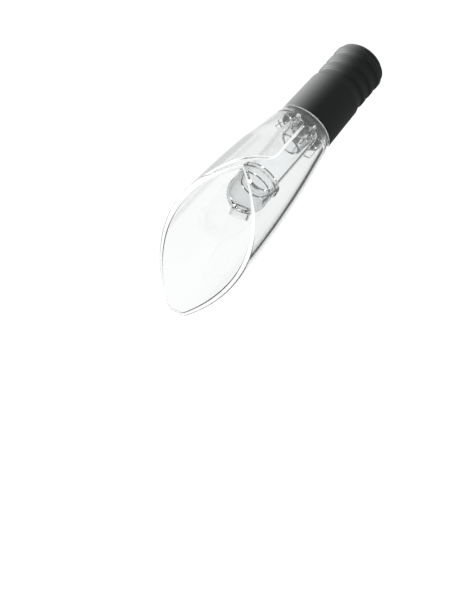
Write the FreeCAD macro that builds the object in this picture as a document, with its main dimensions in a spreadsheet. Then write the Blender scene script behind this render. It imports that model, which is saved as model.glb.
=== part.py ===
"""Wine aerator pourer: a soft stopper, a rigid core, a mixing tube, a domed nozzle and a lily spout.

Millimetres. The origin is the middle of the stopper's bottom end. +Z runs along the axis to the spout,
the open side of the spout faces -Y, and the pouring lip is on the +Y side.
"""
import FreeCAD, Part
import math
import os

import Sketcher

Vector = FreeCAD.Vector

# Driving dimensions: name, value, what it measures
SIZES = [
    ("plug_length", 36, "stopper, from its bottom end to the joint with the spout"),
    ("plug_top_radius", 10.08, "stopper at the joint"),
    ("plug_neck_radius", 9.6, "stopper where the bottle's mouth stops it"),
    ("plug_neck_height", 18.5, "height of that place above the bottom end"),
    ("plug_root_radius", 8.7, "stopper between its ribs"),
    ("plug_lead_in", 1.4, "chamfer of the bottom end"),
    ("plug_top_bevel", 0.5, "bevel of the top edge"),
    ("rib_radius", 9.35, "flat crowns of the sealing ribs"),
    ("rib_count", 3, "number of sealing ribs"),
    ("rib_first", 3.5, "start of the first crown above the bottom end"),
    ("rib_pitch", 4.5, "from one rib to the next"),
    ("rib_width", 1.6, "width of a crown"),
    ("rib_flank", 0.9, "width of a rib's sloping side"),
    ("fit_gap", 0.05, "clearance on the radius between seated pieces"),
    ("shank_radius", 5.4, "outside of the core inside the stopper"),
    ("bead_height", 0.6, "how far a retaining bead stands out"),
    ("bead_width", 2.4, "width of a bead at its foot"),
    ("bead_low", 10, "height of the lower bead"),
    ("bead_high", 24, "height of the upper bead"),
    ("channel_radius", 4.0, "wine passage in the core"),
    ("throat_radius", 3.1, "narrowed end of that passage"),
    ("throat_wall", 0.9, "wall at the throat's end"),
    ("throat_root_wall", 1.3, "wall at the throat's foot"),
    ("throat_length", 10, "from the joint to the throat's end"),
    ("head_height", 2.4, "thickness of the core's head"),
    ("collar_radius", 10.08, "outside of the spout at the joint"),
    ("collar_bore", 8.45, "inside of the spout at the joint"),
    ("collar_depth", 7, "length of that bore"),
    ("cavity_start", 12, "where the spout's wall reaches its even thickness"),
    ("shell_wall", 1.8, "wall of the spout"),
    ("belly_radius", 16.0, "widest part of the spout"),
    ("belly_height", 60, "from the joint to the widest part"),
    ("tip_radius", 16.8, "flared end of the spout"),
    ("tip_height", 76, "from the joint to the flared end"),
    ("apex_height", 34, "from the joint to the lowest point of the rim"),
    ("tip_half_angle", 11, "half of the blunt lip, in degrees about the axis"),
    ("mouth_shift", 1.7, "how far one side of the mouth stands forward, and the other back"),
    ("petal_lift", 1.0, "how far the overlapping petal stands off"),
    ("petal_turn", 17, "direction in which it stands off, in degrees from the open side"),
    ("petal_start", 7, "from the joint to the hidden start of the petal"),
    ("petal_full", 4.8, "from the bend of the petal's edge down to where the petal has its full lift"),
    ("petal_sink", 1.2, "how far the petal's start lies under the surface"),
    ("petal_edge_round", 1.0, "rounding of the petal's free edge"),
    ("edge_side", 4.7, "petal's edge beside the middle, at its start"),
    ("edge_side_high", 6.25, "petal's edge beside the middle, at the bend"),
    ("edge_bend", 25.8, "from the joint to the bend of the petal's edge"),
    ("edge_bend_round", 4.0, "radius of that bend"),
    ("edge_sweep", 5.85, "how much less than the belly's radius the edge bows out from the bend on"),
    ("edge_top_side", 7.6, "where that bow ends at the spout's top, inside the belly's radius"),
    ("tube_radius", 5.9, "outside of the mixing tube"),
    ("tube_wall", 1.0, "wall of the mixing tube"),
    ("tube_length", 27.5, "length of the mixing tube"),
    ("fin_count", 8, "number of centring fins"),
    ("fin_width", 1.0, "thickness of a fin"),
    ("fin_height", 4.2, "height of a fin at the collar"),
    ("fin_slope", 1.6, "extra height of a fin at the tube"),
    ("notch_width", 1.7, "width of an air notch"),
    ("notch_height", 1.5, "height of an air notch"),
    ("bulb_wall", 1.0, "wall of the nozzle"),
    ("bulb_step", 0.5, "inner shoulder of the nozzle, where the tube's end stops"),
    ("bulb_height", 3.6, "from the mixing tube's end to the middle of the nozzle's dome"),
    ("skirt_height", 3.4, "from the nozzle's lip to the mixing tube's end"),
    ("lip_width", 1.3, "height of the bead round the nozzle's lip"),
    ("lip_out", 0.45, "how far that bead stands out"),
    ("outlet_bore", 2.6, "radius of the outlet"),
    ("outlet_wall", 0.8, "wall of the outlet"),
    ("outlet_reach", 8.3, "from the middle of the dome to the outlet's rim"),
    ("outlet_angle", 42, "slant of the outlet from the axis, in degrees"),
]

doc = FreeCAD.newDocument("wine_aerator_pourer")
sheet = doc.addObject("Spreadsheet::Sheet", "size")
for row, (alias, value, note) in enumerate(SIZES, start=1):
    sheet.set(f"A{row}", alias)
    sheet.set(f"B{row}", str(value))
    sheet.setAlias(f"B{row}", alias)
    sheet.set(f"C{row}", note)
doc.recompute()

# Heights along the axis, as text for expressions
JOINT = "size.plug_length"
HEAD_TOP = "(size.plug_length + size.head_height)"
TIP = "(size.plug_length + size.tip_height)"

# How far a cutter reaches past what it cuts, and how close two places count as one
SPARE = 1
CLOSE = 0.001

# The spout's side is one long arc that ends upright at the belly, then a flare arc to the tip
SIDE_STEP = "(size.belly_radius - size.collar_radius)"
SIDE_ARC = f"((size.belly_height ^ 2 + {SIDE_STEP} ^ 2) / (2 * {SIDE_STEP}))"
FLARE_RISE = "(size.tip_height - size.belly_height)"
FLARE_STEP = "(size.tip_radius - size.belly_radius)"
FLARE_ARC = f"(({FLARE_RISE} ^ 2 + {FLARE_STEP} ^ 2) / (2 * {FLARE_STEP}))"


def side_radius(height, inset="0"):
    """Radius of the spout's side at a height above the joint, inset into its wall."""
    return (f"(size.belly_radius - {SIDE_ARC}"
            f" + sqrt(({SIDE_ARC} - {inset}) ^ 2 - (size.belly_height - {height}) ^ 2))")


def flare_radius(height, inset="0"):
    """Radius of the flared end at a height above the joint, inset into its wall."""
    return (f"(size.belly_radius + {FLARE_ARC} - {FLARE_ARC} / abs({FLARE_ARC})"
            f" * sqrt(({FLARE_ARC} + {inset}) ^ 2 - ({height} - size.belly_height) ^ 2))")


def number(expression):
    """Value of an expression over the sheet."""
    return float(sheet.evalExpression(expression))


def base_plane(body, role):
    """One of a body's own origin planes."""
    return next(item for item in body.Origin.OriginFeatures if item.Role == role)


def new_body(name):
    body = doc.addObject("PartDesign::Body", name)
    body.Label = name
    return body


def arc_centre(start, end, radius):
    """Middle of the arc from start to end, on the left of the way where the radius is positive."""
    middle = (start + end) / 2
    way = end - start
    left = Vector(-way.y, way.x, 0).normalize()
    rise = math.sqrt(radius ** 2 - (way.Length / 2) ** 2)
    centre = middle + left * math.copysign(rise, radius)
    return centre


def outline(body, name, corners, role="XZ_Plane"):
    """Closed sketch bound to the sheet. A corner is (across, up), plus a radius where an arc leads on."""
    sketch = body.newObject("Sketcher::SketchObject", name)
    sketch.AttachmentSupport = [(base_plane(body, role), "")]
    sketch.MapMode = "FlatFace"
    points = [Vector(number(corner[0]), number(corner[1]), 0) for corner in corners]
    starts = []
    for index, corner in enumerate(corners):
        start = points[index]
        end = points[(index + 1) % len(points)]
        if len(corner) == 2:
            sketch.addGeometry(Part.LineSegment(start, end))
            starts.append(1)
            continue
        radius = number(corner[2])
        centre = arc_centre(start, end, radius)
        turn_start = math.atan2(start.y - centre.y, start.x - centre.x)
        turn_end = math.atan2(end.y - centre.y, end.x - centre.x)
        circle = Part.Circle(centre, Vector(0, 0, 1), abs(radius))
        if radius > 0:
            sketch.addGeometry(Part.ArcOfCircle(circle, turn_start, turn_end))
            starts.append(1)
        else:
            sketch.addGeometry(Part.ArcOfCircle(circle, turn_end, turn_start))
            starts.append(2)
    for index, corner in enumerate(corners):
        after = (index + 1) % len(corners)
        own_end = 3 - starts[index]
        sketch.addConstraint(Sketcher.Constraint("Coincident", index, own_end, after, starts[after]))
        for kind, value, place in (("DistanceX", points[index].x, 0), ("DistanceY", points[index].y, 1)):
            added = sketch.addConstraint(Sketcher.Constraint(kind, index, starts[index], value))
            sketch.setExpression(f"Constraints[{added}]", corner[place])
        if len(corner) == 3:
            added = sketch.addConstraint(Sketcher.Constraint("Radius", index, abs(number(corner[2]))))
            sketch.setExpression(f"Constraints[{added}]", f"abs({corner[2]})")
    return sketch


def revolve(body, name, corners, kind="Revolution"):
    """Full turn of an outline about the axis: adds, or cuts when the kind is Groove."""
    sketch = outline(body, name + "_outline", corners)
    feature = body.newObject("PartDesign::" + kind, name)
    feature.Profile = sketch
    feature.ReferenceAxis = (sketch, ["V_Axis"])
    feature.Angle = 360
    sketch.Visibility = False
    return feature


def radial_pattern(body, feature, count):
    """Copies of a feature round the axis."""
    pattern = body.newObject("PartDesign::PolarPattern", feature.Name + "_pattern")
    pattern.Originals = [feature]
    pattern.Axis = (base_plane(body, "Z_Axis"), [""])
    pattern.Angle = 360
    pattern.setExpression("Occurrences", count)
    body.Tip = pattern
    return pattern


def is_cut_wall(face):
    """Whether a face runs from front to back and isn't level."""
    if face.Surface.TypeId == "Part::GeomCylinder":
        return abs(face.Surface.Axis.y) > 1 - CLOSE
    if face.Surface.TypeId == "Part::GeomPlane":
        return abs(face.Surface.Axis.y) < CLOSE and abs(face.Surface.Axis.z) < 1 - CLOSE
    return False


def edges_between(shape, first, second):
    """Names of the edges of a shape that lie on the surfaces of two other shapes."""
    names = []
    for index, edge in enumerate(shape.Edges, start=1):
        spots = [edge.valueAt(edge.FirstParameter + part * (edge.LastParameter - edge.FirstParameter))
                 for part in (0.25, 0.5, 0.75)]
        gaps = [other.distToShape(Part.Vertex(spot))[0] for spot in spots for other in (first, second)]
        if max(gaps) < CLOSE:
            names.append(f"Edge{index}")
    return names


# Stopper: ribs low down, then a smooth taper up to the joint
def stopper():
    body = new_body("stopper")
    bore = "(size.shank_radius + size.fit_gap)"
    corners = [(bore, "0"), ("size.plug_root_radius - size.plug_lead_in", "0"),
               ("size.plug_root_radius", "size.plug_lead_in")]
    for rib in range(int(number("size.rib_count"))):
        crown = f"(size.rib_first + {rib} * size.rib_pitch)"
        corners += [("size.plug_root_radius", f"{crown} - size.rib_flank"),
                    ("size.rib_radius", crown),
                    ("size.rib_radius", f"{crown} + size.rib_width"),
                    ("size.plug_root_radius", f"{crown} + size.rib_width + size.rib_flank")]
    corners += [("size.plug_neck_radius", "size.plug_neck_height"),
                ("size.plug_top_radius", JOINT), (bore, JOINT)]
    for bead in ("size.bead_high", "size.bead_low"):
        corners += [(bore, f"{bead} + size.bead_width / 2"),
                    (f"{bore} + size.bead_height", bead),
                    (bore, f"{bead} - size.bead_width / 2")]
    plug = revolve(body, "plug", corners)
    doc.recompute()
    top = [f"Edge{index}" for index, edge in enumerate(plug.Shape.Edges, start=1)
           if abs(edge.BoundBox.ZMin - number(JOINT)) < CLOSE
           and abs(edge.BoundBox.XMax - number("size.plug_top_radius")) < CLOSE]
    bevel = body.newObject("PartDesign::Chamfer", "plug_top_edge")
    bevel.Base = (plug, top)
    bevel.setExpression("Size", "size.plug_top_bevel")
    return body


# Core: shank with two beads, head in the spout's collar, throat pipe
def inlet_core():
    body = new_body("inlet_core")
    corners = [("size.channel_radius", "0"), ("size.shank_radius", "0")]
    for bead in ("size.bead_low", "size.bead_high"):
        corners += [("size.shank_radius", f"{bead} - size.bead_width / 2"),
                    ("size.shank_radius + size.bead_height", bead),
                    ("size.shank_radius", f"{bead} + size.bead_width / 2")]
    corners += [("size.shank_radius", JOINT),
                ("size.collar_bore - size.fit_gap", JOINT),
                ("size.collar_bore - size.fit_gap", HEAD_TOP),
                ("size.throat_radius + size.throat_root_wall", HEAD_TOP),
                ("size.throat_radius + size.throat_wall", f"{JOINT} + size.throat_length"),
                ("size.throat_radius", f"{JOINT} + size.throat_length"),
                ("size.throat_radius", HEAD_TOP),
                ("size.channel_radius", f"{JOINT} - size.head_height")]
    revolve(body, "core", corners)
    return body


# Mixing tube: stands on the core's head, centred in the collar by fins, with air notches between them
def mixing_tube():
    body = new_body("mixing_tube")
    bore = "(size.tube_radius - size.tube_wall)"
    top = f"{HEAD_TOP} + size.tube_length"
    revolve(body, "tube", [
        (bore, HEAD_TOP), ("size.tube_radius", HEAD_TOP), ("size.tube_radius", top), (bore, top)])
    fin_outline = outline(body, "fin_outline", [
        ("size.tube_radius - size.tube_wall / 2", HEAD_TOP),
        ("size.collar_bore - size.fit_gap", HEAD_TOP),
        ("size.collar_bore - size.fit_gap", f"{HEAD_TOP} + size.fin_height"),
        ("size.tube_radius - size.tube_wall / 2", f"{HEAD_TOP} + size.fin_height + size.fin_slope")])
    fin = body.newObject("PartDesign::Pad", "fin")
    fin.Profile = fin_outline
    fin.SideType = "Symmetric"
    fin.setExpression("Length", "size.fin_width")
    fins = radial_pattern(body, fin, "size.fin_count")
    doc.recompute()
    notch_outline = outline(body, "notch_outline", [
        ("-size.notch_width / 2", HEAD_TOP), ("size.notch_width / 2", HEAD_TOP),
        ("size.notch_width / 2", f"{HEAD_TOP} + size.notch_height"),
        ("-size.notch_width / 2", f"{HEAD_TOP} + size.notch_height")])
    notch_outline.AttachmentOffset = FreeCAD.Placement(
        Vector(), FreeCAD.Rotation(Vector(0, 1, 0), 180 / number("size.fin_count")))
    notch_outline.setExpression(".AttachmentOffset.Rotation.Angle", "180 / size.fin_count")
    notch = body.newObject("PartDesign::Pocket", "notch")
    notch.Profile = notch_outline
    notch.Reversed = True
    notch.setExpression("Length", "size.tube_radius")
    notches = radial_pattern(body, notch, "size.fin_count")
    doc.recompute()
    if notches.Shape.Volume >= fins.Shape.Volume:
        raise SystemExit("the air notches cut nothing")
    return body


# Nozzle: a domed cap over the mixing tube's end with a slanted outlet
def nozzle():
    body = new_body("nozzle")
    skirt = "(size.tube_radius + size.fit_gap + size.bulb_wall)"
    seat_top = f"({HEAD_TOP} + size.tube_length)"
    lip = f"({seat_top} - size.skirt_height)"
    middle = f"({seat_top} + size.bulb_height)"
    revolve(body, "dome", [
        ("0", lip), (f"{skirt} + size.lip_out", lip),
        (f"{skirt} + size.lip_out", f"{lip} + size.lip_width"),
        (skirt, f"{lip} + size.lip_width + size.lip_out"), (skirt, middle, skirt),
        ("0", f"{middle} + {skirt}")])
    slant = FreeCAD.Rotation(Vector(1, 0, 0), -number("size.outlet_angle"))
    spigot = body.newObject("PartDesign::AdditiveCylinder", "outlet_spigot")
    spigot.Placement = FreeCAD.Placement(Vector(0, 0, number(middle)), slant)
    spigot.setExpression(".Placement.Base.z", middle)
    spigot.setExpression("Radius", "size.outlet_bore + size.outlet_wall")
    spigot.setExpression("Height", "size.outlet_reach")
    socket = "(size.tube_radius + size.fit_gap)"
    room = f"({socket} - size.bulb_step)"
    revolve(body, "inside", [
        ("0", lip), (socket, lip), (socket, seat_top), (room, seat_top), (room, middle, room),
        ("0", f"{middle} + {room}")], "Groove")
    bore = body.newObject("PartDesign::SubtractiveCylinder", "outlet_hole")
    bore.Placement = FreeCAD.Placement(Vector(0, 0, number(middle)), slant)
    bore.setExpression(".Placement.Base.z", middle)
    bore.setExpression("Radius", "size.outlet_bore")
    bore.setExpression("Height", "size.outlet_reach * 2")
    return body


# Petal: the spout's own form, set off to one side and cut back along its free edge
def petal():
    body = new_body("petal")
    across = "(-size.petal_lift * sin(size.petal_turn * 1 deg))"
    out = "(-size.petal_lift * cos(size.petal_turn * 1 deg))"
    full_lift = "(size.edge_bend - size.petal_full)"
    form = revolve(body, "petal_form", [
        ("0", f"{JOINT} + size.petal_start"),
        (f"{side_radius('size.petal_start')} - size.petal_sink", f"{JOINT} + size.petal_start"),
        (side_radius(full_lift), f"{JOINT} + {full_lift}", SIDE_ARC),
        ("size.belly_radius", f"{JOINT} + size.belly_height", f"-{FLARE_ARC}"),
        ("size.tip_radius", TIP), ("0", TIP)])
    doc.recompute()
    full = form.Shape.Volume
    far = "(size.belly_radius * 2)"
    above = f"({TIP} + size.shell_wall)"
    bend = f"({JOINT} + size.edge_bend)"
    top_side = f"(size.belly_radius - size.edge_top_side - {across})"
    bow = "(size.belly_radius - size.edge_sweep)"
    way_up = f"({above} - {bend})"
    way_over = "(size.belly_radius - size.edge_top_side + size.edge_side_high)"
    half_chord = f"(sqrt({way_up} ^ 2 + {way_over} ^ 2) / 2)"
    trim_outline = outline(body, "petal_trim", [
        (f"-{far} - {across}", f"{JOINT} + size.petal_start - size.petal_sink"),
        (f"-size.edge_side - {across}", f"{JOINT} + size.petal_start - size.petal_sink"),
        (f"-size.edge_side_high - {across}", bend, f"({half_chord} ^ 2 + {bow} ^ 2) / (2 * {bow})"),
        (top_side, above),
        (f"-{far} - {across}", above)])
    trim = body.newObject("PartDesign::Pocket", "petal_cut")
    trim.Profile = trim_outline
    trim.Reversed = True
    trim.setExpression("Length", far)
    doc.recompute()
    if trim.Shape.Volume >= full:
        raise SystemExit("the petal's edge cuts nothing")
    corner = Vector(number(f"-size.edge_side_high - {across}"), 0, number(bend))
    off_corner = [max(max(abs(end.X - corner.x), abs(end.Z - corner.z)) for end in edge.Vertexes)
                  for edge in trim.Shape.Edges]
    corner_names = [f"Edge{index}" for index, off in enumerate(off_corner, start=1) if off < CLOSE]
    bend_round = body.newObject("PartDesign::Fillet", "petal_bend")
    bend_round.Base = (trim, corner_names)
    bend_round.setExpression("Radius", "size.edge_bend_round")
    doc.recompute()
    walls = Part.makeCompound([face for face in bend_round.Shape.Faces if is_cut_wall(face)])
    curved = [face for face in form.Shape.Faces if face.Surface.TypeId != "Part::GeomPlane"]
    sides = Part.makeCompound(curved)
    edge_round = body.newObject("PartDesign::Fillet", "petal_edge")
    edge_round.Base = (bend_round, edges_between(bend_round.Shape, sides, walls))
    edge_round.setExpression("Radius", "size.petal_edge_round")
    body.setExpression(".Placement.Base.x", across)
    body.setExpression(".Placement.Base.y", out)
    return body


# Mouth: a bar turned about the axis and lifted, so that the rim climbs evenly from the apex to the lip
def mouth_cutter(name, left_handed):
    body = new_body(name)
    way = "" if left_handed else "-"
    body.setExpression(".Placement.Base.y", f"{way}size.mouth_shift")
    start = f"({JOINT} + size.apex_height)"
    inner = "(-size.belly_radius / 2)"
    outer = "(-size.belly_radius * 1.5)"
    above = f"({start} + size.tip_height)"
    corners = [(outer, start), (inner, start), (inner, above), (outer, above)]
    bar = outline(body, name + "_bar", corners, "YZ_Plane")
    turn = body.newObject("PartDesign::AdditiveHelix", name + "_turn")
    turn.Profile = bar
    turn.ReferenceAxis = (bar, ["V_Axis"])
    turn.Mode = "pitch-turns-angle"
    climb = "(size.tip_height - size.apex_height)"
    turn.setExpression("Pitch", f"2 * {climb} / (1 - size.tip_half_angle / 180)")
    turn.Turns = 0.5
    turn.LeftHanded = left_handed
    return body


# Spout: the lily shell, hollowed after the petal is laid on it
def spout_shell():
    form = new_body("spout_form")
    revolve(form, "form", [
        ("0", JOINT), ("size.collar_radius", JOINT, SIDE_ARC),
        ("size.belly_radius", f"{JOINT} + size.belly_height", f"-{FLARE_ARC}"),
        ("size.tip_radius", TIP), ("0", TIP)])
    cavity = new_body("spout_cavity")
    revolve(cavity, "cavity", [
        ("0", f"{JOINT} - {SPARE}"), ("size.collar_bore", f"{JOINT} - {SPARE}"),
        ("size.collar_bore", f"{JOINT} + size.collar_depth"),
        (side_radius("size.cavity_start", "size.shell_wall"), f"{JOINT} + size.cavity_start",
         f"{SIDE_ARC} - size.shell_wall"),
        ("size.belly_radius - size.shell_wall", f"{JOINT} + size.belly_height",
         f"-({FLARE_ARC} + size.shell_wall)"),
        (flare_radius(f"(size.tip_height + {SPARE})", "size.shell_wall"), f"{TIP} + {SPARE}"),
        ("0", f"{TIP} + {SPARE}")])
    solid = doc.addObject("Part::MultiFuse", "spout_solid")
    solid.Shapes = [form, petal()]
    hollow = doc.addObject("Part::Cut", "spout_hollow")
    hollow.Base = solid
    hollow.Tool = cavity
    right = doc.addObject("Part::Cut", "spout_right_rim")
    right.Base = hollow
    right.Tool = mouth_cutter("mouth_right", False)
    left = doc.addObject("Part::Cut", "spout_shell")
    left.Base = right
    left.Tool = mouth_cutter("mouth_left", True)
    left.Label = "spout_shell"
    return left


pieces = [stopper(), inlet_core(), mixing_tube(), nozzle(), spout_shell()]
doc.recompute()

for item in doc.Objects:
    if "Invalid" in item.State or "Error" in item.State:
        raise SystemExit(f"{item.Label} failed: {item.getStatusString()}")
for piece in pieces:
    if piece.Shape.isNull() or not piece.Shape.isValid() or len(piece.Shape.Solids) != 1:
        raise SystemExit(f"{piece.Label} isn't one valid solid")

os.makedirs("parts", exist_ok=True)
for piece in pieces:
    piece.Shape.exportStep(f"parts/{piece.Label}.step")
    print(piece.Label, round(piece.Shape.Volume, 1), piece.Shape.optimalBoundingBox())
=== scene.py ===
# %% [markdown]
# A pourer that mixes in air: a black rubber stopper carries a clear, lily-shaped spout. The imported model
# gives all five pieces their places and sizes. This script makes each of them again as a finer skin in the
# same place, gives it its finish and sets up the studio.

# %% Load the fixed model
import math

import bmesh
import bpy
from mathutils import Matrix, Vector


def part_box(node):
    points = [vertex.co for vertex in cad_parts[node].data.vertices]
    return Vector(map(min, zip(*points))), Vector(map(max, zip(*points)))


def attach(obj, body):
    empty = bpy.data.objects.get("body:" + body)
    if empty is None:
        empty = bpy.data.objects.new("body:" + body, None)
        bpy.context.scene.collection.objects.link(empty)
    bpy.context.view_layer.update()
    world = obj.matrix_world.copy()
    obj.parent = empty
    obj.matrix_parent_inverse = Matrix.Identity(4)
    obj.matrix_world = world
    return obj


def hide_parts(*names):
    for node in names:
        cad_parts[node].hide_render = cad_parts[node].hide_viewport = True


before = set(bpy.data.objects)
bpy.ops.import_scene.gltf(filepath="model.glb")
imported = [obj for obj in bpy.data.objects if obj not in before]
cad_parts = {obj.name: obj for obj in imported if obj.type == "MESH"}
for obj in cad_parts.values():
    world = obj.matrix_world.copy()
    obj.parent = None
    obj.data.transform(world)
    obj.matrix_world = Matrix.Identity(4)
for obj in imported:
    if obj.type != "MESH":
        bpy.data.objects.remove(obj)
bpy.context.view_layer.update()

MM = 0.001
joint_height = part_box("spout_shell")[0].z
print("joint between stopper and spout at", round(joint_height / MM, 2), "mm")

# %% [markdown]
# The camera comes first, because every finish is judged through it. The photograph looks at the open
# side from above and a little to the left, and it is turned so far that the stopper points to the upper
# right. A long lens keeps the perspective as flat as the photograph's. The camera's place counts from the
# joint between stopper and spout, so it moves with the object. Clear walls lie behind each other, so
# light gets many turns before it is given up.

# %% Camera
CAMERA_FROM_JOINT = Vector((-268.2, -472.2, 340.2)) * MM
CAMERA_RIGHT = Vector((-0.8117, 0.0947, -0.5763))
CAMERA_FORWARD = Vector((0.4125, 0.7915, -0.4509))
LENS = 114
SENSOR = 36
NEAREST = 10 * MM
CLEAR_TURNS = 32
MIRROR_TURNS = 16

scene = bpy.context.scene
camera_data = bpy.data.cameras.new("camera")
camera_data.lens = LENS
camera_data.sensor_width = SENSOR
camera_data.clip_start = NEAREST
camera = bpy.data.objects.new("camera", camera_data)
forward = CAMERA_FORWARD.normalized()
right = (CAMERA_RIGHT - forward * CAMERA_RIGHT.dot(forward)).normalized()
up = right.cross(forward)
turn = Matrix((right, up, -forward)).transposed().to_4x4()
camera.matrix_world = Matrix.Translation(Vector((0, 0, joint_height)) + CAMERA_FROM_JOINT) @ turn
scene.collection.objects.link(camera)
scene.camera = camera
scene.view_settings.view_transform = "Standard"
scene.cycles.max_bounces = CLEAR_TURNS
scene.cycles.transmission_bounces = CLEAR_TURNS
scene.cycles.glossy_bounces = MIRROR_TURNS
print("camera looks along", [round(part, 3) for part in forward])

# %% [markdown]
# Geometry Nodes can shape a piece from a formula. Long formulas are hard to read as node links, so this
# small class lets a node's output be used like a number: each sum or product adds a Math node.

# %% Numbers that build nodes
class Field:
    """A node output that can be used in sums, products and functions."""

    def __init__(self, tree, socket):
        self.tree = tree
        self.socket = socket

    def math(self, operation, *others):
        node = self.tree.nodes.new("ShaderNodeMath")
        node.operation = operation
        self.tree.links.new(self.socket, node.inputs[0])
        for place, other in enumerate(others, start=1):
            if isinstance(other, Field):
                self.tree.links.new(other.socket, node.inputs[place])
            else:
                node.inputs[place].default_value = other
        return Field(self.tree, node.outputs[0])

    def __add__(self, other):
        return self.math("ADD", other)

    def __sub__(self, other):
        return self.math("SUBTRACT", other)

    def __mul__(self, other):
        return self.math("MULTIPLY", other)

    def __truediv__(self, other):
        return self.math("DIVIDE", other)

    __radd__ = __add__
    __rmul__ = __mul__

    def __rsub__(self, other):
        return self.math("MULTIPLY", -1.0) + other

    def sin(self):
        return self.math("SINE")

    def cos(self):
        return self.math("COSINE")

    def sqrt(self):
        return self.math("SQRT")

    def abs(self):
        return self.math("ABSOLUTE")

    def sign(self):
        return self.math("SIGN")

    def power(self, exponent):
        return self.math("POWER", exponent)

    def above(self, other):
        """1 where it is more than the other, and 0 elsewhere."""
        return self.math("GREATER_THAN", other)

    def below(self, other):
        """1 where it is less than the other, and 0 elsewhere."""
        return self.math("LESS_THAN", other)

    def at_most(self, other):
        return self.math("MINIMUM", other)

    def at_least(self, other):
        return self.math("MAXIMUM", other)

    def soft_least(self, other, softness):
        return self.math("SMOOTH_MIN", other, softness)

    def soft_most(self, other, softness):
        return self.math("SMOOTH_MAX", other, softness)

    def part_of(self, start, end):
        """0 before start, 1 after end, and even in between."""
        return ((self - start) / (end - start)).at_least(0.0).at_most(1.0)

    def smooth(self):
        """Eases a value between 0 and 1."""
        return self * self * (3.0 - 2.0 * self)


def choose(test, low, high):
    """Low where the test is 0, high where it is 1."""
    return low + (high - low) * test


# %% [markdown]
# Each tree takes its sizes as named inputs, so that one can be changed on the modifier without reading
# the nodes. It ends by realizing its copies and setting its material, and its result is taken over as a
# plain mesh, because the finished piece shouldn't depend on a live modifier.

# %% Trees with named sizes
def new_tree(name, sizes):
    """An empty geometry tree with one named number input for each size."""
    tree = bpy.data.node_groups.new(name, "GeometryNodeTree")
    for label in sizes:
        socket = tree.interface.new_socket(label, in_out="INPUT", socket_type="NodeSocketFloat")
        socket.default_value = sizes[label]
    tree.interface.new_socket("Material", in_out="INPUT", socket_type="NodeSocketMaterial")
    tree.interface.new_socket("Geometry", in_out="OUTPUT", socket_type="NodeSocketGeometry")
    source = tree.nodes.new("NodeGroupInput")
    target = tree.nodes.new("NodeGroupOutput")
    numbers = {label: Field(tree, source.outputs[label]) for label in sizes}
    return tree, source, target, numbers


def finish_tree(tree, source, target, geometry):
    """Realizes the geometry, gives it the material and leads it out."""
    real = tree.nodes.new("GeometryNodeRealizeInstances")
    paint = tree.nodes.new("GeometryNodeSetMaterial")
    tree.links.new(geometry, real.inputs[0])
    tree.links.new(real.outputs[0], paint.inputs["Geometry"])
    tree.links.new(source.outputs["Material"], paint.inputs["Material"])
    tree.links.new(paint.outputs[0], target.inputs["Geometry"])
    print("tree", tree.name, "has", len(tree.nodes), "nodes")


def new_object(name, data):
    """An object in the scene that shows a mesh or a lamp."""
    item = bpy.data.objects.new(name, data)
    scene.collection.objects.link(item)
    return item


def plain_mesh(name, tree, material):
    """The tree's result as an ordinary mesh object."""
    holder = new_object(name + "_tree", bpy.data.meshes.new(name + "_tree"))
    modifier = holder.modifiers.new("shape", "NODES")
    modifier.node_group = tree
    socket = next(item for item in tree.interface.items_tree if item.name == "Material")
    modifier[socket.identifier] = material
    bpy.context.view_layer.update()
    seen = holder.evaluated_get(bpy.context.evaluated_depsgraph_get())
    mesh = bpy.data.meshes.new_from_object(seen)
    bpy.data.objects.remove(holder)
    return new_object(name, mesh)


# %% [markdown]
# A skin that follows a rule starts as a flat grid. Each point reads how far round and how far along it
# lies, the rule turns that into a place in space, and the edges that meet are merged, so the skin ends
# up closed.

# %% A grid that is bent round
SEAM = 1e-6              # metres, under which two points are one


def grid_field(tree, columns, rows):
    """A unit grid, with how far round and how far along each point lies."""
    grid = tree.nodes.new("GeometryNodeMeshGrid")
    grid.inputs["Size X"].default_value = 1.0
    grid.inputs["Size Y"].default_value = 1.0
    grid.inputs["Vertices X"].default_value = columns + 1
    grid.inputs["Vertices Y"].default_value = rows + 1
    position = tree.nodes.new("GeometryNodeInputPosition")
    split = tree.nodes.new("ShaderNodeSeparateXYZ")
    tree.links.new(position.outputs[0], split.inputs[0])
    return grid, Field(tree, split.outputs[0]) + 0.5, Field(tree, split.outputs[1]) + 0.5


def mark_points(tree, geometry, name, value):
    """Keeps a value on every point, for the material to read."""
    store = tree.nodes.new("GeometryNodeStoreNamedAttribute")
    store.inputs["Name"].default_value = name
    tree.links.new(geometry, store.inputs["Geometry"])
    tree.links.new(value.socket, store.inputs["Value"])
    return store.outputs[0]


def place_points(tree, geometry, x, y, z):
    """Moves each point to x, y, z and merges the seams."""
    join = tree.nodes.new("ShaderNodeCombineXYZ")
    for place, value in enumerate((x, y, z)):
        tree.links.new(value.socket, join.inputs[place])
    move = tree.nodes.new("GeometryNodeSetPosition")
    tree.links.new(geometry, move.inputs["Geometry"])
    tree.links.new(join.outputs[0], move.inputs["Position"])
    merge = tree.nodes.new("GeometryNodeMergeByDistance")
    merge.inputs["Distance"].default_value = SEAM
    tree.links.new(move.outputs[0], merge.inputs[0])
    shade = tree.nodes.new("GeometryNodeSetShadeSmooth")
    tree.links.new(merge.outputs[0], shade.inputs[0])
    return shade.outputs[0]


# %% [markdown]
# The spout is one clear moulding shaped like a lily: two petals wrap a cone, the outer one laps over the
# inner one with a rounded step, and the rim climbs evenly round both sides to a blunt pouring lip. It
# could be sculpted, but the whole skin is one rule, so Geometry Nodes bend a grid round: one way runs
# round the axis, the other runs up the outer wall, over the rim, down the inner wall and back under the
# collar. Heights count from the joint with the stopper, and x runs to the right, seen from the open side.

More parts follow.
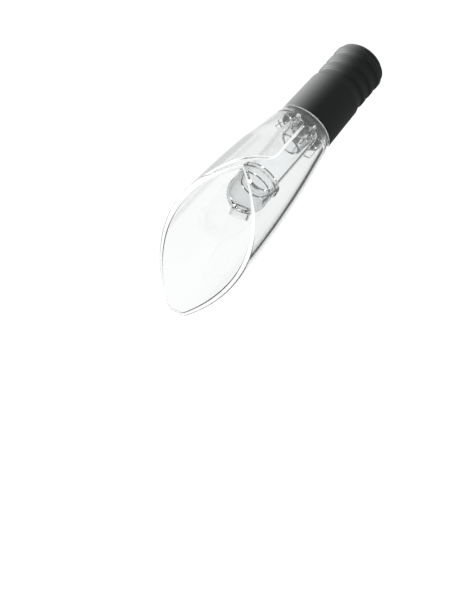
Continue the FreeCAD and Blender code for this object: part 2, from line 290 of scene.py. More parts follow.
# %% Sizes of the spout, in millimetres and degrees
SPOUT = {
    "collar radius": 10.08,
    "collar bore": 8.45,
    "collar round": 0.3,
    "wall": 1.8,
    "belly radius": 16.0,
    "belly height": 60.0,
    "tip radius": 16.8,
    "tip height": 76.0,
    "tip softness": 1.2,
    "tip half angle": 11.0,
    "apex height": 34.0,
    "rim round": 0.6,
    "mouth shift": 1.7,
    "petal lift": 1.0,
    "petal turn": 17.0,
    "petal start": 7.0,
    "petal full": 21.0,
    "petal sink": 1.2,
    "petal softness": 0.6,
    "edge foot": 5.8,
    "edge side": 4.7,
    "edge side high": 6.25,
    "edge bend": 25.8,
    "edge bend round": 4.0,
    "edge sweep": 41.0,
    "edge top side": 8.4,
    "edge top height": 77.8,
    "step width": 0.9,
    "crowd middle": -8.0,
    "crowd half": 38.0,
}
AIR = 0.03               # millimetres between two clear pieces that stand on each other
print("spout is", SPOUT["tip height"], "mm long and", 2 * SPOUT["belly radius"], "mm across its belly")

# %% [markdown]
# Round the axis, the columns crowd near the open side, where the step needs them. The rim is an even
# climb from the apex of the mouth and is cut off level at the lip. The sine of the angle shifts the two
# sides of the mouth against each other, as the photograph shows.

# %% Columns and rim
DEGREE = math.radians(1)
COLUMNS = 380
DENSE_SHARE = 0.6        # of the columns, crowded round the petal's edge


def spout_angle(size, around):
    """Angle of each column, with 0 at the middle of the open side."""
    sweep = 1.0 - around * 2.0
    near = (sweep / DENSE_SHARE).at_least(-1.0).at_most(1.0) * size["crowd half"]
    beyond = ((sweep.abs() - DENSE_SHARE) / (1.0 - DENSE_SHARE)).at_least(0.0)
    side_room = 180.0 - size["crowd half"] - size["crowd middle"] * sweep.sign()
    return (size["crowd middle"] + near + beyond * side_room * sweep.sign()) * DEGREE


def rim_height(size, angle):
    """Height of the rim above each column."""
    slope = (size["tip height"] - size["apex height"]) / (math.pi - size["tip half angle"] * DEGREE)
    cut_angle = angle.abs() - angle.sin() * size["mouth shift"] / size["belly radius"]
    climb = size["apex height"] + cut_angle * slope
    return climb.soft_least(size["tip height"], size["tip softness"]).at_most(size["tip height"])


# %% [markdown]
# Along the section, the rows climb the outside, cross the rim, run down the inside and come back under
# the collar. A moulded edge is flat with two small rounds, not a half circle, so the turns over the rim
# and under the collar use a squared circle.

# %% Rows
ROWS = 236
RIM_START = 0.60         # shares of the rows
RIM_END = 0.68
FOOT_START = 0.97


def squared_turn(share):
    """Way across and height of a flat edge with rounded corners, as its share goes from 0 to 1."""
    angle = share * math.pi
    across = angle.cos()
    return across.sign() * across.abs().power(0.5), angle.sin().at_least(0.0).power(0.5)


def spout_section(size, along, rim):
    """Height of each row, how far it is inside, and its way over and across the rim."""
    going_up = along.part_of(0.0, RIM_START)
    over_rim = along.part_of(RIM_START, RIM_END)
    going_down = along.part_of(RIM_END, FOOT_START)
    across_rim, rim_swell = squared_turn(over_rim)
    across_foot, foot_swell = squared_turn(along.part_of(FOOT_START, 1.0))
    low = size["collar round"]
    high = rim - size["rim round"]
    height = (low + (high - low) * (going_up - going_down)
              + size["rim round"] * rim_swell - size["collar round"] * foot_swell)
    inside = (1.0 - across_rim) * 0.5 - (1.0 - across_foot) * 0.5
    return height, inside, over_rim, across_rim


# %% [markdown]
# The wall is a long arc from the collar to the belly and a flare from there to the tip. The two arcs meet
# without a kink, because both run along the axis at the belly. The inner wall uses the same two arcs, set
# in by the wall's thickness, and narrows to the bore of the collar at its foot.

# %% Walls
COLLAR_SWELL = (1.0, 4.0)    # heights between which the bore widens to an even wall


def side(size, height, inset=0.0):
    """Radius of the spout's long side arc."""
    step = size["belly radius"] - size["collar radius"]
    arc = (size["belly height"] * size["belly height"] + step * step) / (step * 2.0)
    rise = size["belly height"] - height
    return size["belly radius"] - arc + ((arc - inset) * (arc - inset) - rise * rise).sqrt()


def flare(size, height, inset=0.0):
    """Radius of the flared end."""
    step = size["tip radius"] - size["belly radius"]
    rise = size["tip height"] - size["belly height"]
    arc = (rise * rise + step * step) / (step * 2.0)
    over = height - size["belly height"]
    return size["belly radius"] + arc - ((arc + inset) * (arc + inset) - over * over).sqrt()


def outer_wall(size, height):
    return choose(height.above(size["belly height"]), side(size, height), flare(size, height))


def inner_wall(size, height):
    wall = size["wall"]
    even = choose(height.above(size["belly height"]), side(size, height, wall), flare(size, height, wall))
    return choose(height.part_of(*COLLAR_SWELL).smooth(), size["collar bore"], even)


# %% [markdown]
# The lapped petal is the same form set off to one side, so it stands proud on that side only, and it
# sinks under the surface towards the collar. Its free edge is drawn as it is seen from the front: a line
# that leans outwards, a bend, and a long sweep to the other side of the rim.

# %% Petal
def petal_radius(size, angle, height, outer):
    """Radius of the petal that laps over the wall."""
    sunk = 1.0 - height.part_of(size["petal start"], size["petal full"]).smooth()
    form = outer - size["petal sink"] * sunk
    lift_angle = angle - size["petal turn"] * DEGREE
    drift = size["petal lift"] * lift_angle.sin()
    return size["petal lift"] * lift_angle.cos() + (form * form - drift * drift).sqrt()


def past_edge(size, x, height):
    """How far a point lies on the petal's side of its free edge."""
    lean = (size["edge side high"] - size["edge side"]) / (size["edge bend"] - size["edge foot"])
    from_line = x + size["edge side"] + (height - size["edge foot"]) * lean
    run_x = size["edge top side"] + size["edge side high"]
    run_z = size["edge top height"] - size["edge bend"]
    half = (run_x * run_x + run_z * run_z).sqrt() * 0.5
    reach = (size["edge sweep"] * size["edge sweep"] - half * half).sqrt() / (half * 2.0)
    centre_x = (size["edge top side"] - size["edge side high"]) * 0.5 - run_z * reach
    centre_z = (size["edge top height"] + size["edge bend"]) * 0.5 + run_x * reach
    away_x = x - centre_x
    away_z = height - centre_z
    from_sweep = (away_x * away_x + away_z * away_z).sqrt() - size["edge sweep"]
    return from_line.soft_least(from_sweep, size["edge bend round"])


# %% [markdown]
# The rim, the petal's step and the collar's foot get a painted highlight. Cut edges of clear plastic gather
# the light of the whole wall and glow white, and the white painted here stands in for that light. A shader
# can't know where an edge is, so each point keeps a mark from 0 to 1 of painted highlight that the finish
# reads. Round the middle, the painted highlight on the step is two lines with a dark one between them, and
# towards the lip the painted band on the rim gets narrower.

# %% Painted highlights on the edges
# Where the painted highlight bands lie on the rim, the step and the collar's foot
OUTSIDE = 0.99               # way across the rim, above which a point is on the outer wall
STEP_HIGHLIGHT_BAND = (0.6, 0.95)      # shares of the way from the step's middle to its sides
STEP_FOOT = (6.0, 8.0)       # heights
DOUBLE_LEFT = (-6.0, -4.5)   # places of x
DOUBLE_RIGHT = (0.5, 3.0)
DOUBLE_GAP = (0.2, 0.45)
FOOT_HIGHLIGHT_BAND = (0.3, 0.7)       # heights
LIP_HEIGHTS = (50.0, 60.0)   # of the rim, between which its band narrows
RIM_HIGHLIGHT_BAND = (0.55, 0.9)       # shares of the way from the rim's middle to its sides
LIP_HIGHLIGHT_BAND = (0.15, 0.4)


def step_painted_highlight(x, height, step_share):
    """Painted highlight on the petal's step, with an unpainted dark line along a part of it."""
    off_step = (step_share - 0.5).abs() * 2.0
    doubled = (x.part_of(*DOUBLE_LEFT) * (1.0 - x.part_of(*DOUBLE_RIGHT))
               * (1.0 - off_step.part_of(*DOUBLE_GAP)))
    band = (1.0 - off_step.part_of(*STEP_HIGHLIGHT_BAND)) * (1.0 - doubled)
    return band * height.part_of(*STEP_FOOT)


def rim_painted_highlight(over_rim, rim):
    """Painted highlight along the middle of the rim."""
    to_lip = rim.part_of(*LIP_HEIGHTS)
    off_middle = (over_rim - 0.5).abs() * 2.0
    full = choose(to_lip, RIM_HIGHLIGHT_BAND[0], LIP_HIGHLIGHT_BAND[0])
    dark = choose(to_lip, RIM_HIGHLIGHT_BAND[1], LIP_HIGHLIGHT_BAND[1])
    return 1.0 - off_middle.part_of(full, dark)


# %% The spout's tree
FRONT_COSINE = -0.2          # the step is only on columns whose cosine is above this


def spout_tree():
    tree, source, target, size = new_tree("lily_spout", SPOUT)
    grid, around, along = grid_field(tree, COLUMNS, ROWS)
    angle = spout_angle(size, around)
    rim = rim_height(size, angle)
    height, inside, over_rim, across_rim = spout_section(size, along, rim)

    # The petal covers the wall on its side of the step
    wall = outer_wall(size, height)
    x = angle.sin() * wall * -1.0
    in_front = angle.cos().above(FRONT_COSINE)
    step_share = (past_edge(size, x, height) / size["step width"] + 0.5).at_least(0.0).at_most(1.0)
    raised = (petal_radius(size, angle, height, wall) - wall).soft_most(0.0, size["petal softness"])
    outer = wall + raised * (step_share.smooth() * in_front)
    radius = outer + (inner_wall(size, height) - outer) * inside

    # Painted highlight on the step, the collar's foot and the rim, kept as the edge mark
    on_outside = 1.0 - across_rim.below(OUTSIDE)
    foot_painted_highlight = 1.0 - height.part_of(*FOOT_HIGHLIGHT_BAND)
    low_painted_highlights = (step_painted_highlight(x, height, step_share) * in_front).at_least(foot_painted_highlight) * on_outside
    marked = mark_points(tree, grid.outputs[0], "edge", low_painted_highlights.at_least(rim_painted_highlight(over_rim, rim)))

    foot = joint_height / MM + AIR
    placed = place_points(tree, marked, angle.sin() * radius * -MM,
                          angle.cos() * radius * -MM, (height + foot) * MM)
    finish_tree(tree, source, target, placed)
    return tree


# %% [markdown]
# A finish reads Object coordinates, which stay with the piece. Noise drives the bump, and on the rubber
# the tone and the gloss too, so that no surface is perfectly even.

# %% Helpers for finishes
def new_material(name):
    material = bpy.data.materials.new(name)
    material.use_nodes = True
    return material, material.node_tree.nodes["Principled BSDF"]


def object_noise(material, scale, detail):
    """Noise that stays with the object."""
    nodes = material.node_tree.nodes
    place = nodes.new("ShaderNodeTexCoord")
    noise = nodes.new("ShaderNodeTexNoise")
    noise.inputs["Scale"].default_value = scale
    noise.inputs["Detail"].default_value = detail
    material.node_tree.links.new(place.outputs["Object"], noise.inputs["Vector"])
    return noise


def add_bump(material, shader, noise, strength, distance):
    bump = material.node_tree.nodes.new("ShaderNodeBump")
    bump.inputs["Strength"].default_value = strength
    bump.inputs["Distance"].default_value = distance
    material.node_tree.links.new(noise.outputs["Fac"], bump.inputs["Height"])
    material.node_tree.links.new(bump.outputs[0], shader.inputs["Normal"])


def drive(material, value, low, high, socket):
    """Lets a value between 0 and 1 set a shader's number between low and high."""
    span = material.node_tree.nodes.new("ShaderNodeMapRange")
    span.inputs["To Min"].default_value = low
    span.inputs["To Max"].default_value = high
    material.node_tree.links.new(value, span.inputs["Value"])
    material.node_tree.links.new(span.outputs[0], socket)


# %% [markdown]
# Clear acrylic is a shader with full transmission. Its edges show because they bend light in from the sides
# of the studio, so the walls have to be real, closed and smooth. A very faint waviness in the surface keeps
# the reflections from looking drawn. Light is also absorbed inside the walls, which shades the thick parts.
# The marked edges of the spout get a painted highlight: there the finish turns partly matt and white, so they
# look lit. Each clear piece absorbs as much as gives it the photograph's grey.

# %% Clear acrylic
ACRYLIC = {"Base Color": (0.985, 0.99, 0.99, 1), "Transmission Weight": 1.0, "IOR": 1.49, "Roughness": 0.0}
ACRYLIC_WAVES = {"scale": 120, "detail": 1, "strength": 0.08, "distance": 0.2 * MM}
# How much light the painted highlight on the marked edges still lets through, and how matt it is
HIGHLIGHT_TRANSMISSION = 0.15
HIGHLIGHT_ROUGHNESS = 0.2
ABSORBED = (0.5, 0.52, 0.52, 1)


def clear_acrylic(name, density, paints_edge_highlights=False):
    material, shader = new_material(name)
    for label, value in ACRYLIC.items():
        shader.inputs[label].default_value = value
    noise = object_noise(material, ACRYLIC_WAVES["scale"], ACRYLIC_WAVES["detail"])
    add_bump(material, shader, noise, ACRYLIC_WAVES["strength"], ACRYLIC_WAVES["distance"])
    nodes = material.node_tree.nodes
    # Painted highlight: where the edge mark is set, the finish turns matt white and lets little light through
    if paints_edge_highlights:
        edge = nodes.new("ShaderNodeAttribute")
        edge.attribute_name = "edge"
        drive(material, edge.outputs["Fac"], 1.0, HIGHLIGHT_TRANSMISSION, shader.inputs["Transmission Weight"])
        drive(material, edge.outputs["Fac"], 0.0, HIGHLIGHT_ROUGHNESS, shader.inputs["Roughness"])
    tint = nodes.new("ShaderNodeVolumeAbsorption")
    tint.inputs["Color"].default_value = ABSORBED
    tint.inputs["Density"].default_value = density
    material.node_tree.links.new(tint.outputs[0], nodes["Material Output"].inputs["Volume"])
    return material


acrylic = clear_acrylic("clear_acrylic", density=12.0)
nozzle_acrylic = clear_acrylic("nozzle_acrylic", density=200.0)
# The spout's finish carries the painted edge highlights
spout_acrylic = clear_acrylic("spout_acrylic", density=70.0, paints_edge_highlights=True)
print("clear finishes:", acrylic.name, nozzle_acrylic.name, spout_acrylic.name)

# %% [markdown]
# The rubber is matt black with a slight green cast. A cloudy noise varies its tone and its gloss a
# little, and a very fine one gives the grain of the mould.

# %% Soft rubber
RUBBER_SPECULAR = 0.17
RUBBER_CLOUDS = {"scale": 260, "detail": 4}
RUBBER_GRAIN = {"scale": 9000, "detail": 3, "strength": 0.25, "distance": 0.03 * MM}
RUBBER_DARK = (0.0048, 0.0059, 0.0056, 1)
RUBBER_LIGHT = (0.0076, 0.0090, 0.0086, 1)
RUBBER_GLOSS = (0.66, 0.80)


def soft_rubber():
    material, shader = new_material("soft_rubber")
    shader.inputs["Specular IOR Level"].default_value = RUBBER_SPECULAR
    cloud = object_noise(material, RUBBER_CLOUDS["scale"], RUBBER_CLOUDS["detail"])
    tone = material.node_tree.nodes.new("ShaderNodeValToRGB")
    tone.color_ramp.elements[0].color = RUBBER_DARK
    tone.color_ramp.elements[1].color = RUBBER_LIGHT
    material.node_tree.links.new(cloud.outputs["Fac"], tone.inputs["Fac"])
    material.node_tree.links.new(tone.outputs["Color"], shader.inputs["Base Color"])
    drive(material, cloud.outputs["Fac"], *RUBBER_GLOSS, shader.inputs["Roughness"])
    grain = object_noise(material, RUBBER_GRAIN["scale"], RUBBER_GRAIN["detail"])
    add_bump(material, shader, grain, RUBBER_GRAIN["strength"], RUBBER_GRAIN["distance"])
    return material


rubber = soft_rubber()
print("rubber finish:", rubber.name)

# %% [markdown]
# The stopper is one rubber moulding that is pushed into a neck: three sealing ribs low down, then a slow
# taper up to the spout. It could be turned from a drawn section, but its side is a rule again, with the
# ribs as a repeated step, so it is a grid bent round by Geometry Nodes too. Soft flanks and a rounded top
# edge are what a rubber mould gives, and two grooves in the bore hold the core's beads.

# %% Sizes of the stopper, in millimetres
STOPPER = {
    "length": 36.0,
    "top radius": 10.08,
    "top round": 0.5,
    "neck radius": 9.6,
    "neck height": 18.5,
    "neck rise": 3.5,
    "root radius": 8.7,
    "lead in": 1.4,
    "lead softness": 0.4,
    "rib radius": 9.35,
    "rib count": 3.0,
    "first rib": 3.5,
    "rib pitch": 4.5,
    "rib width": 1.6,
    "rib flank": 0.9,
    "bore": 5.45,
    "groove depth": 0.6,
    "groove half": 1.2,
    "low groove": 10.0,
    "high groove": 24.0,
}
STOPPER_COLUMNS = 144
STOPPER_ROWS = 400
SIDE_START = 0.03            # shares of the rows: the foot ends and the side starts
BEND_START = 0.75
TOP_START = 0.78
BORE_START = 0.81
print("stopper has", int(STOPPER["rib count"]), "ribs of", 2 * STOPPER["rib radius"], "mm")

# %% Stopper
def groove(size, height, middle):
    """How much wider the bore is at a retaining bead."""
    off = (height - size[middle]).abs() / size["groove half"]
    return size["groove depth"] * (1.0 - off).at_least(0.0)


def rib_crown(size, height):
    """1 on a rib, 0 between two ribs, and a soft flank in between."""
    from_first = height - size["first rib"] - size["rib width"] * 0.5
    nearest = (from_first / size["rib pitch"] + 0.5).math("FLOOR")
    number = nearest.at_least(0.0).at_most(size["rib count"] - 1.0)
    off = (from_first - number * size["rib pitch"]).abs()
    return (1.0 - off.part_of(size["rib width"] * 0.5, size["rib width"] * 0.5 + size["rib flank"])).smooth()


def stopper_tree():
    tree, source, target, size = new_tree("rubber_stopper", STOPPER)
    grid, around, along = grid_field(tree, STOPPER_COLUMNS, STOPPER_ROWS)
    out = along.part_of(0.0, SIDE_START)
    rise = along.part_of(SIDE_START, BEND_START)
    bend = along.part_of(BEND_START, TOP_START) * (math.pi / 2)
    back = along.part_of(TOP_START, BORE_START)
    fall = along.part_of(BORE_START, 1.0)
    height = ((size["length"] - size["top round"]) * rise + size["top round"] * bend.sin()
              - size["length"] * fall)

    neck = height.part_of(size["neck height"] - size["neck rise"], size["neck height"])
    taper = height.part_of(size["neck height"], size["length"])
    wall = (size["root radius"] - (size["lead in"] - height).soft_most(0.0, size["lead softness"])
            + rib_crown(size, height) * (size["rib radius"] - size["root radius"])
            + neck * (size["neck radius"] - size["root radius"])
            + taper * (size["top radius"] - size["neck radius"]))
    bore = size["bore"] + groove(size, height, "low groove") + groove(size, height, "high groove")
    rounding = size["top round"] * (1.0 - bend.cos())
    radius = bore + ((wall - bore) * out - rounding) * (1.0 - back)
    angle = around * (math.pi * 2)
    placed = place_points(tree, grid.outputs[0], angle.cos() * radius * MM,
                          angle.sin() * radius * MM, height * MM)
    finish_tree(tree, source, target, placed)
    return tree


def crisp(piece, degrees=32):
    """Smooth faces that stay crisp where the form turns sharply."""
    piece.data.shade_smooth()
    piece.data.set_sharp_from_angle(angle=math.radians(degrees))


def take_over(piece, node):
    """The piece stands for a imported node."""
    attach(piece, "root")
    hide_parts(node)
    print(piece.name, "has", len(piece.data.polygons), "faces")


stopper = plain_mesh("rubber_stopper", stopper_tree(), rubber)
crisp(stopper)
take_over(stopper, "stopper")

# %% [markdown]
# The core is the clear inlet inside the stopper: a shaft with two beads, a round head and a throat. It is
# turned round the axis, so its half section is spun. Each corner of the section gets a small round,
# because a clear edge only glints when it is round. The head is pressed into the rubber by a hair, so the
# black rubber shows through it, as it does where a real head sits tight on its stopper.

# %% Rounded sections and how they are spun
ROUND = 0.14                 # millimetres
ROUND_STEPS = 4
MOST_OF_SIDE = 0.4           # share of a side that a round may take
FLAT_START = 1.3             # roundings from a corner, a point that keeps the flat beside it flat
SPIN = 144


def rounded(corners, reach):
    """A closed section with its corners rounded."""
    points = []
    for place, corner in enumerate(corners):
        here = Vector(corner)
        before = Vector(corners[place - 1]) - here
        after = Vector(corners[(place + 1) % len(corners)]) - here
        cut = min(reach, before.length * MOST_OF_SIDE, after.length * MOST_OF_SIDE)
        start = here + before.normalized() * cut
        end = here + after.normalized() * cut
        points.append(here + before.normalized() * cut * FLAT_START)
        for step in range(ROUND_STEPS + 1):
            share = step / ROUND_STEPS
            points.append(start.lerp(here, share).lerp(here.lerp(end, share), share))
        points.append(here + after.normalized() * cut * FLAT_START)
    return points


def spun(name, corners, material):
    """Mesh of a closed half section, in millimetres, spun round the axis."""
    points = rounded(corners, ROUND)
    loop = len(points)
    verts = []
    for turn_step in range(SPIN):
        angle = math.tau * turn_step / SPIN
        verts += [(p.x * math.cos(angle) * MM, p.x * math.sin(angle) * MM, p.y * MM) for p in points]
    faces = []
    for turn_step in range(SPIN):
        ahead = (turn_step + 1) % SPIN
        for spot in range(loop):
            beside = (spot + 1) % loop
            faces.append((turn_step * loop + spot, ahead * loop + spot, ahead * loop + beside,
                          turn_step * loop + beside))
    data = bpy.data.meshes.new(name)
    data.from_pydata(verts, [], faces)
    data.materials.append(material)
    data.shade_smooth()
    return new_object(name, data)


# %% Inlet core
PRESS = 0.02                 # millimetres that the head is pressed into the rubber
BORE = 4.0
BORE_TOP = 33.6
SHAFT = 5.4
BEAD = 6.0
BEAD_HALF = 1.2
HEAD = 8.4
HEAD_FOOT = STOPPER["length"] - PRESS
HEAD_TOP = 38.4
THROAT = 3.1
THROAT_FOOT = 4.4
THROAT_TIP = 4.0
THROAT_TOP = 46.0

section = [(BORE, 0.0), (SHAFT, 0.0)]
for bead_height in (STOPPER["low groove"], STOPPER["high groove"]):
    section += [(SHAFT, bead_height - BEAD_HALF), (BEAD, bead_height), (SHAFT, bead_height + BEAD_HALF)]
section += [(SHAFT, HEAD_FOOT), (HEAD, HEAD_FOOT), (HEAD, HEAD_TOP), (THROAT_FOOT, HEAD_TOP),
            (THROAT_TIP, THROAT_TOP), (THROAT, THROAT_TOP), (THROAT, HEAD_TOP), (BORE, BORE_TOP)]
core = spun("inlet_core_clear", section, acrylic)
take_over(core, "inlet_core")

# %% [markdown]
# The mixing tube stands on the core's head. Eight fins centre it in the collar, and between them eight
# notches let the air in. The fins and notches repeat, so Geometry Nodes place them round the axis and
# join them to the tube, or cut them out of it, as one closed solid.

# %% Sizes of the mixing tube, in millimetres
TUBE = {
    "foot": HEAD_TOP + AIR,
    "length": 27.5 - 2 * AIR,
    "outside": 5.9,
    "inside": 4.9,
    "fin count": 8.0,
    "fin root": 5.4,
    "fin reach": 8.4,
    "fin width": 1.0,
    "fin height": 4.2,
    "fin slope": 1.6,
    "notch width": 1.7,
    "notch height": 1.5,
    "notch cut": 2.0,
    "notch inset": 0.5,
    "bore overrun": 1.0,
}
print("tube stands at", TUBE["foot"], "mm and is", round(TUBE["length"], 2), "mm long")


# %% Solids as nodes
def place_of(tree, x, y, z):
    """A vector from three numbers or fields, in millimetres."""
    join = tree.nodes.new("ShaderNodeCombineXYZ")
    for socket, value in zip(join.inputs, (x, y, z)):
        if isinstance(value, Field):
            tree.links.new((value * MM).socket, socket)
        else:
            socket.default_value = value * MM
    return join.outputs[0]


def moved(tree, geometry, vector):
    node = tree.nodes.new("GeometryNodeTransform")
    tree.links.new(geometry, node.inputs["Geometry"])
    tree.links.new(vector, node.inputs["Translation"])
    return node.outputs[0]


def round_bar(tree, radius, foot, length):
    """A solid round bar that stands on its foot."""
    bar = tree.nodes.new("GeometryNodeMeshCylinder")
    bar.inputs["Vertices"].default_value = SPIN
    tree.links.new((radius * MM).socket, bar.inputs["Radius"])
    tree.links.new((length * MM).socket, bar.inputs["Depth"])
    return moved(tree, bar.outputs["Mesh"], place_of(tree, 0.0, 0.0, foot + length * 0.5))


def block(tree, size, middle, slope=None):
    """A block of a size, in millimetres. With slope, its top rises towards the axis."""
    cube = tree.nodes.new("GeometryNodeMeshCube")
    tree.links.new(place_of(tree, *size), cube.inputs["Size"])
    mesh = cube.outputs["Mesh"]
    if slope is not None:
        position = tree.nodes.new("GeometryNodeInputPosition")
        split = tree.nodes.new("ShaderNodeSeparateXYZ")
        tree.links.new(position.outputs[0], split.inputs[0])
        x, z = Field(tree, split.outputs[0]), Field(tree, split.outputs[2])
        lift = tree.nodes.new("GeometryNodeSetPosition")
        tree.links.new(mesh, lift.inputs["Geometry"])
        tree.links.new(place_of(tree, 0.0, 0.0, z.above(0.0) * x.below(0.0) * slope), lift.inputs["Offset"])
        mesh = lift.outputs[0]
    return moved(tree, mesh, place_of(tree, *middle))


def ring_of(tree, geometry, count, first=0.0):
    """Copies round the axis, with the first one turned by a share of a step."""
    points = tree.nodes.new("GeometryNodePoints")
    tree.links.new(count.socket, points.inputs["Count"])
    index = Field(tree, tree.nodes.new("GeometryNodeInputIndex").outputs[0])
    turn_join = tree.nodes.new("ShaderNodeCombineXYZ")
    tree.links.new(((index + first) * math.tau / count).socket, turn_join.inputs[2])
    copies = tree.nodes.new("GeometryNodeInstanceOnPoints")
    tree.links.new(points.outputs[0], copies.inputs["Points"])
    tree.links.new(geometry, copies.inputs["Instance"])
    tree.links.new(turn_join.outputs[0], copies.inputs["Rotation"])
    real = tree.nodes.new("GeometryNodeRealizeInstances")
    tree.links.new(copies.outputs[0], real.inputs[0])
    return real.outputs[0]


def solid_of(tree, operation, first, second):
    """Union or difference of two closed solids."""
    node = tree.nodes.new("GeometryNodeMeshBoolean")
    node.operation = operation
    node.solver = "EXACT"
    tree.links.new(first, node.inputs["Mesh 1" if operation == "DIFFERENCE" else "Mesh 2"])
    tree.links.new(second, node.inputs["Mesh 2"])
    return node.outputs["Mesh"]


# %% Mixing tube
def tube_tree():
    tree, source, target, size = new_tree("mixing_tube_clear", TUBE)
    count = size["fin count"]
    fin_long = size["fin reach"] - size["fin root"]
    fin_middle = (size["fin reach"] + size["fin root"]) * 0.5
    fin = block(tree, (fin_long, size["fin width"], size["fin height"]),
                (fin_middle, 0.0, size["foot"] + size["fin height"] * 0.5), size["fin slope"])
    bar = round_bar(tree, size["outside"], size["foot"], size["length"])
    finned = solid_of(tree, "UNION", bar, ring_of(tree, fin, count))
    bore = round_bar(tree, size["inside"], size["foot"] - size["bore overrun"],
                     size["length"] + size["bore overrun"] * 2.0)
    hollow = solid_of(tree, "DIFFERENCE", finned, bore)
    notch = block(tree, (size["notch cut"], size["notch width"], size["notch height"] * 2.0),
                  (size["outside"] - size["notch inset"], 0.0, size["foot"]))
    notched = solid_of(tree, "DIFFERENCE", hollow, ring_of(tree, notch, count, 0.5))
    finish_tree(tree, source, target, notched)
    return tree


tube = plain_mesh("mixing_tube_clear", tube_tree(), acrylic)
crisp(tube)
take_over(tube, "mixing_tube")

# %% [markdown]
# The nozzle is a domed cap with a slanted outlet. It could be built again from balls and pipes, but its
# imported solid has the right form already, so a copy of its triangles is joined into one skin, smooth on
# the dome and crisp at the rims.

# %% Nozzle
SAME_POINT = 1e-7            # metres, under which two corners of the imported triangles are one


def joined_copy(node, name, material):
    """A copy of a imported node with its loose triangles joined."""
    shape = bmesh.new()
    shape.from_mesh(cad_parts[node].data)
    bmesh.ops.remove_doubles(shape, verts=shape.verts, dist=SAME_POINT)
    shape.verts.index_update()
    verts = [tuple(vert.co) for vert in shape.verts]
    faces = [[vert.index for vert in face.verts] for face in shape.faces]
    shape.free()
    data = bpy.data.meshes.new(name)
    data.from_pydata(verts, [], faces)
    data.materials.append(material)
    return new_object(name, data)


nozzle = joined_copy("nozzle", "domed_nozzle", nozzle_acrylic)
crisp(nozzle)
take_over(nozzle, "nozzle")

# %% [markdown]
# The spout goes on last. Its foot stays a hair above the rubber, so the two surfaces never share a place,
# which would show as black specks.

# %% The spout in its finish
spout = plain_mesh("lily_spout", spout_tree(), spout_acrylic)
take_over(spout, "spout_shell")

# %% [markdown]
# The studio is white all round, as for a cut-out picture. The floor lies well below the object, because
# the pourer is held by its stopper in use. Floor and cards glow by themselves and reflect nothing, so
# they stay even without a lamp of their own.

# %% Floor and air
FLOOR_HEIGHT = -0.5
FLOOR_HALF = 8.0
FLOOR_GLOW = 1.05
AIR_GLOW = 1.0
WHITE = (1, 1, 1, 1)
BLACK = (0, 0, 0, 1)


def glowing(name, strength):
    """A surface that gives off white light and reflects none."""
    material, shader = new_material(name)
    shader.inputs["Base Color"].default_value = BLACK
    shader.inputs["Specular IOR Level"].default_value = 0.0
    shader.inputs["Roughness"].default_value = 1.0
    shader.inputs["Emission Color"].default_value = WHITE
    shader.inputs["Emission Strength"].default_value = strength
    return material


def flat_face(name, corners, material):
    """A four-cornered face that belongs to the studio."""
    data = bpy.data.meshes.new(name)
    data.from_pydata(corners, [], [(0, 1, 2, 3)])
    data.materials.append(material)
    piece = new_object(name, data)
    return piece


floor_corners = [(x * FLOOR_HALF, y * FLOOR_HALF, FLOOR_HEIGHT)
                 for x, y in ((-1, -1), (1, -1), (1, 1), (-1, 1))]
flat_face("floor", floor_corners, glowing("floor_white", FLOOR_GLOW))
world = bpy.data.worlds.new("studio_air")
world.use_nodes = True
scene.world = world
world.node_tree.nodes["Background"].inputs["Color"].default_value = WHITE
world.node_tree.nodes["Background"].inputs["Strength"].default_value = AIR_GLOW
print("floor lies", round(-FLOOR_HEIGHT, 2), "m under the stopper")

# %% [markdown]
# Clear walls only show where they bend or mirror something darker into view. A grey card on the right
# draws the dark line down the right wall, and a light one on the left shades the left wall. A black card
# high behind outlines the small clear parts, and three narrow bright strips in front of it give those
# their glints. The camera, matt surfaces and shadows don't see the cards.

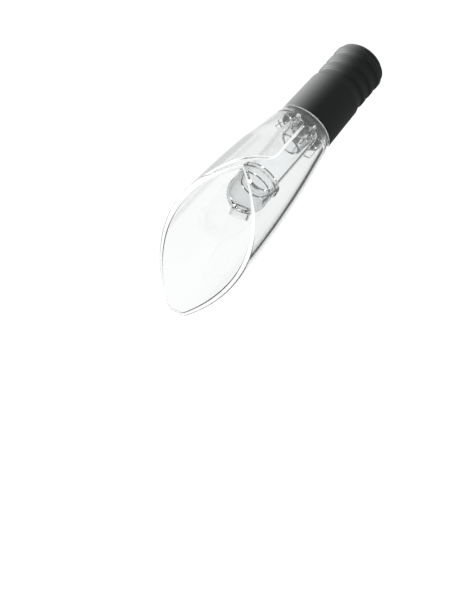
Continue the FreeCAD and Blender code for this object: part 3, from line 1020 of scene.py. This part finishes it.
# %% Cards
MIDDLE = Vector((0, 0, 0.07))                    # metres
beside = right * 0.83 - up * 0.56                # across the spout, to the lower right of the picture
high_behind = Vector((forward.x, forward.y, -forward.z))
RIGHT_WAY = forward * 0.70 + beside * 0.71 - Vector((0, 0, 0.22))
LEFT_WAY = forward * 0.70 - beside * 0.71
GLINTS = (-0.50, -0.14, 0.22)                    # places of the strips, from left to right


def card(name, toward, distance, width, height, material):
    """An upright card that faces the object."""
    toward = Vector(toward).normalized()
    centre = MIDDLE + toward * distance
    across = toward.cross(Vector((0, 0, 1))).normalized() * width * 0.5
    rise = across.cross(toward).normalized() * height * 0.5
    corners = [centre - across - rise, centre + across - rise, centre + across + rise, centre - across + rise]
    piece = flat_face(name, corners, material)
    piece.visible_camera = False
    piece.visible_diffuse = False
    piece.visible_shadow = False


card("side_card", RIGHT_WAY, distance=0.54, width=0.24, height=0.20, material=glowing("card_grey", 0.08))
card("back_card", high_behind, distance=1.0, width=2.0, height=0.6, material=glowing("card_black", 0.02))
bright = glowing("card_bright", 4.0)
for shift in GLINTS:
    card("back_light", high_behind + beside * shift, distance=0.9, width=0.05, height=0.6, material=bright)
card("left_card", LEFT_WAY, distance=0.5, width=0.30, height=0.9, material=glowing("card_light", 0.80))

# %% [markdown]
# Two soft lamps do what white surroundings can't. One brightens the marked edges of the spout and leaves
# no glint on its walls. The other gives the rubber the soft light band that the photograph shows on its
# left side. Each lights one piece only.

# %% Lamps
LAMP_DISTANCE = 0.9


def softbox(name, toward, width, power, only, mirrored=True):
    """A square soft lamp for one piece. Where it isn't mirrored, it leaves no glint on clear walls."""
    data = bpy.data.lights.new(name, "AREA")
    data.shape = "RECTANGLE"
    data.size = width
    data.size_y = width
    data.energy = power
    lamp = new_object(name, data)
    toward = Vector(toward).normalized()
    lamp.location = MIDDLE + toward * LAMP_DISTANCE
    lamp.rotation_euler = (-toward).to_track_quat("-Z", "Y").to_euler()
    lamp.visible_camera = False
    lamp.visible_glossy = mirrored
    lamp.visible_transmission = mirrored
    lit = bpy.data.collections.new(name + "_lights")
    lit.objects.link(only)
    lamp.light_linking.receiver_collection = lit
    print(name, "gives", power, "W to", only.name)


softbox("edge_light", (-0.3, -0.7, 0.7), width=0.9, power=3, only=spout, mirrored=False)
softbox("rubber_light", forward * 0.22 - beside * 0.97, width=0.5, power=120, only=stopper)
